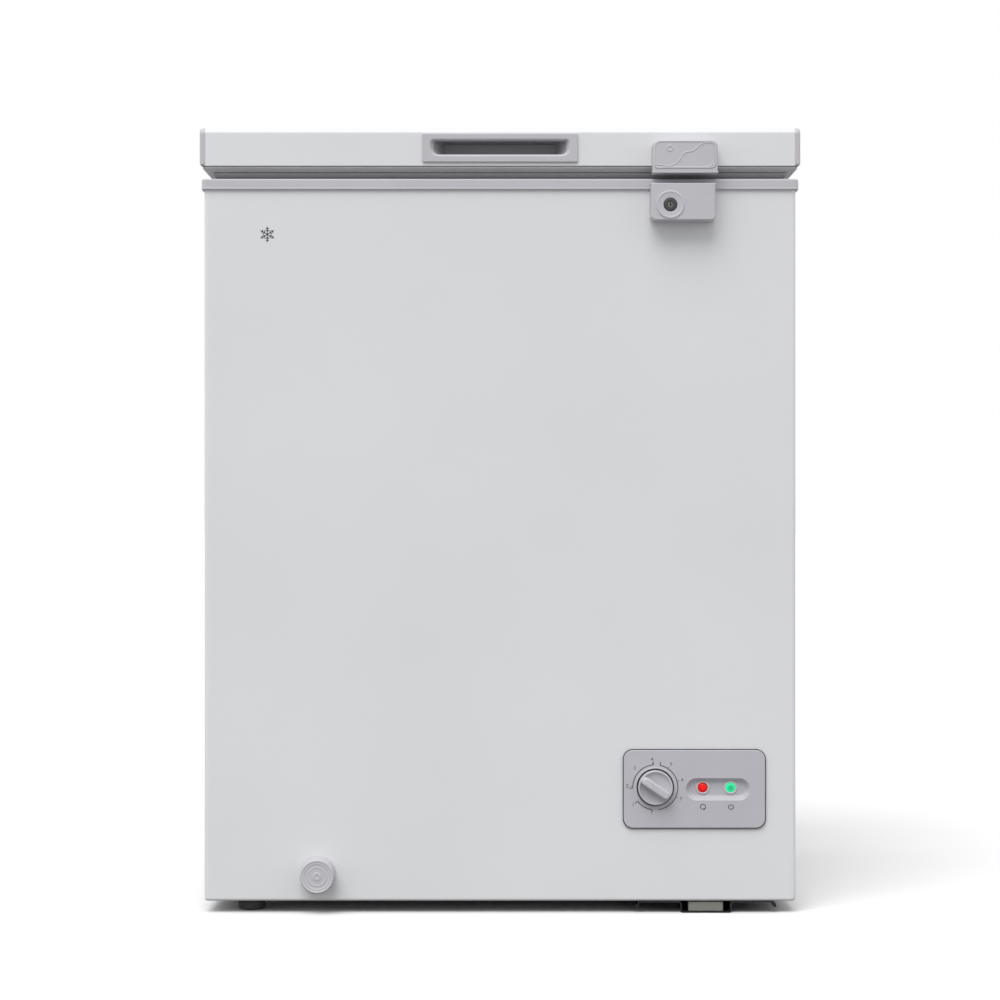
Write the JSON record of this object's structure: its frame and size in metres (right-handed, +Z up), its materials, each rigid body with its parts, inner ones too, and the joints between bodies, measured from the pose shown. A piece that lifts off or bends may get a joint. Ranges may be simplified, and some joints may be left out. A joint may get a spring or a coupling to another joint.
{
  "type": "chest freezer",
  "caption": "Small chest freezer: foam-walled steel cabinet, hinged lid with recessed pull, key lock and latch, thermostat panel, drain plug, basket and compressor bay.",
  "frame": {"origin": "on the floor, under the middle of the freezer's whole bounding box", "axes": "+Z up, +X to the right of someone facing the front, -Y towards them"},
  "size_m": [0.65, 0.57, 0.85],
  "materials": {
    "white_steel": "white baked enamel on steel sheet",
    "grey_plastic": "light grey moulded plastic",
    "panel_plastic": "mid grey moulded plastic",
    "white_plastic": "white moulded plastic",
    "black_plastic": "black moulded plastic",
    "black_steel": "black paint on steel",
    "zinc_steel": "zinc-plated steel",
    "dark_metal": "dark metal",
    "aluminium": "stucco aluminium and drawn aluminium tube",
    "copper": "drawn copper tube",
    "rubber": "black rubber",
    "grey_rubber": "grey rubber",
    "gasket": "soft grey vinyl with a magnet strip",
    "foam": null,
    "red_lens": "clear red",
    "green_lens": "clear green"
  },
  "bodies": {
    "cabinet": {"outer_wrap": "white_steel", "rear_panel": "white_steel", "bottom_panel": "zinc_steel", "inner_liner": "aluminium", "foam_insulation": "foam", "top_frame": "grey_plastic", "foot_front_left": "rubber", "foot_rear_left": "rubber", "compressor_base_plate": "black_steel", "base_pad_front": "grey_rubber", "base_pad_rear": "grey_rubber", "compressor_lower_shell": "black_steel", "compressor_upper_shell": "black_steel", "compressor_pump": "dark_metal", "compressor_bracket": "black_steel", "compressor_grommet_1": "rubber", "compressor_grommet_2": "rubber", "compressor_grommet_3": "rubber", "compressor_grommet_4": "rubber", "starter_cover": "black_plastic", "evaporator_coil": "aluminium", "condenser_coil": "copper", "discharge_line": "copper", "suction_line": "copper", "filter_drier": "copper", "capillary_tube": "copper", "thermostat_body": "zinc_steel", "sensor_tube": "copper", "control_panel": "panel_plastic", "red_lamp": "red_lens", "green_lamp": "green_lens", "lamp_board": "black_plastic", "drain_tube": "white_plastic", "lock_housing": "grey_plastic", "hinge_base_left": "zinc_steel", "hinge_base_right": "zinc_steel", "hinge_pin_left": "zinc_steel", "hinge_pin_right": "zinc_steel", "hinge_spring_left": "dark_metal", "hinge_spring_right": "dark_metal", "rear_cover": "zinc_steel", "cord_grommet": "rubber"},
    "lid": {"lid_outer_panel": "white_steel", "lid_end_cap_left": "grey_plastic", "lid_end_cap_right": "grey_plastic", "lid_foam": "foam", "lid_inner_liner": "white_plastic", "lid_gasket": "gasket", "lid_handle": "grey_plastic", "lid_latch": "grey_plastic", "hinge_arm_left": "zinc_steel", "hinge_arm_right": "zinc_steel"},
    "thermostat_knob": {"thermostat_knob": "grey_plastic", "thermostat_shaft": "zinc_steel"},
    "lock": {"lock_barrel": "dark_metal", "lock_hook": "zinc_steel"},
    "drain_plug": {"drain_plug": "grey_plastic"},
    "drain_stopper": {"drain_stopper": "white_plastic"},
    "basket": {"storage_basket": "white_plastic"}
  },
  "joints": [
    {"name": "lid_hinge", "type": "hinge", "parent": "cabinet", "child": "lid", "pos_m": [0, 0.275, 0.802], "axis": [-1, 0, 0], "range_deg": [0, 80]},
    {"name": "thermostat_turn", "type": "hinge", "parent": "cabinet", "child": "thermostat_knob", "pos_m": [0.168, -0.2637, 0.1365], "axis": [0, 1, 0], "range_deg": [-34, 281]},
    {"name": "lock_turn", "type": "hinge", "parent": "cabinet", "child": "lock", "pos_m": [0.183, -0.285, 0.7645], "axis": [0, -1, 0], "range_deg": [0, 90]},
    {"name": "drain_plug_pull", "type": "slide", "parent": "cabinet", "child": "drain_plug", "axis": [0, -1, 0], "range_m": [0, 0.03]},
    {"name": "drain_stopper_lift", "type": "slide", "parent": "cabinet", "child": "drain_stopper", "axis": [0, 0, 1], "range_m": [0, 0.04]},
    {"name": "basket_slide", "type": "slide", "parent": "cabinet", "child": "basket", "axis": [-1, 0, 0], "range_m": [0, 0.27]}
  ]
}
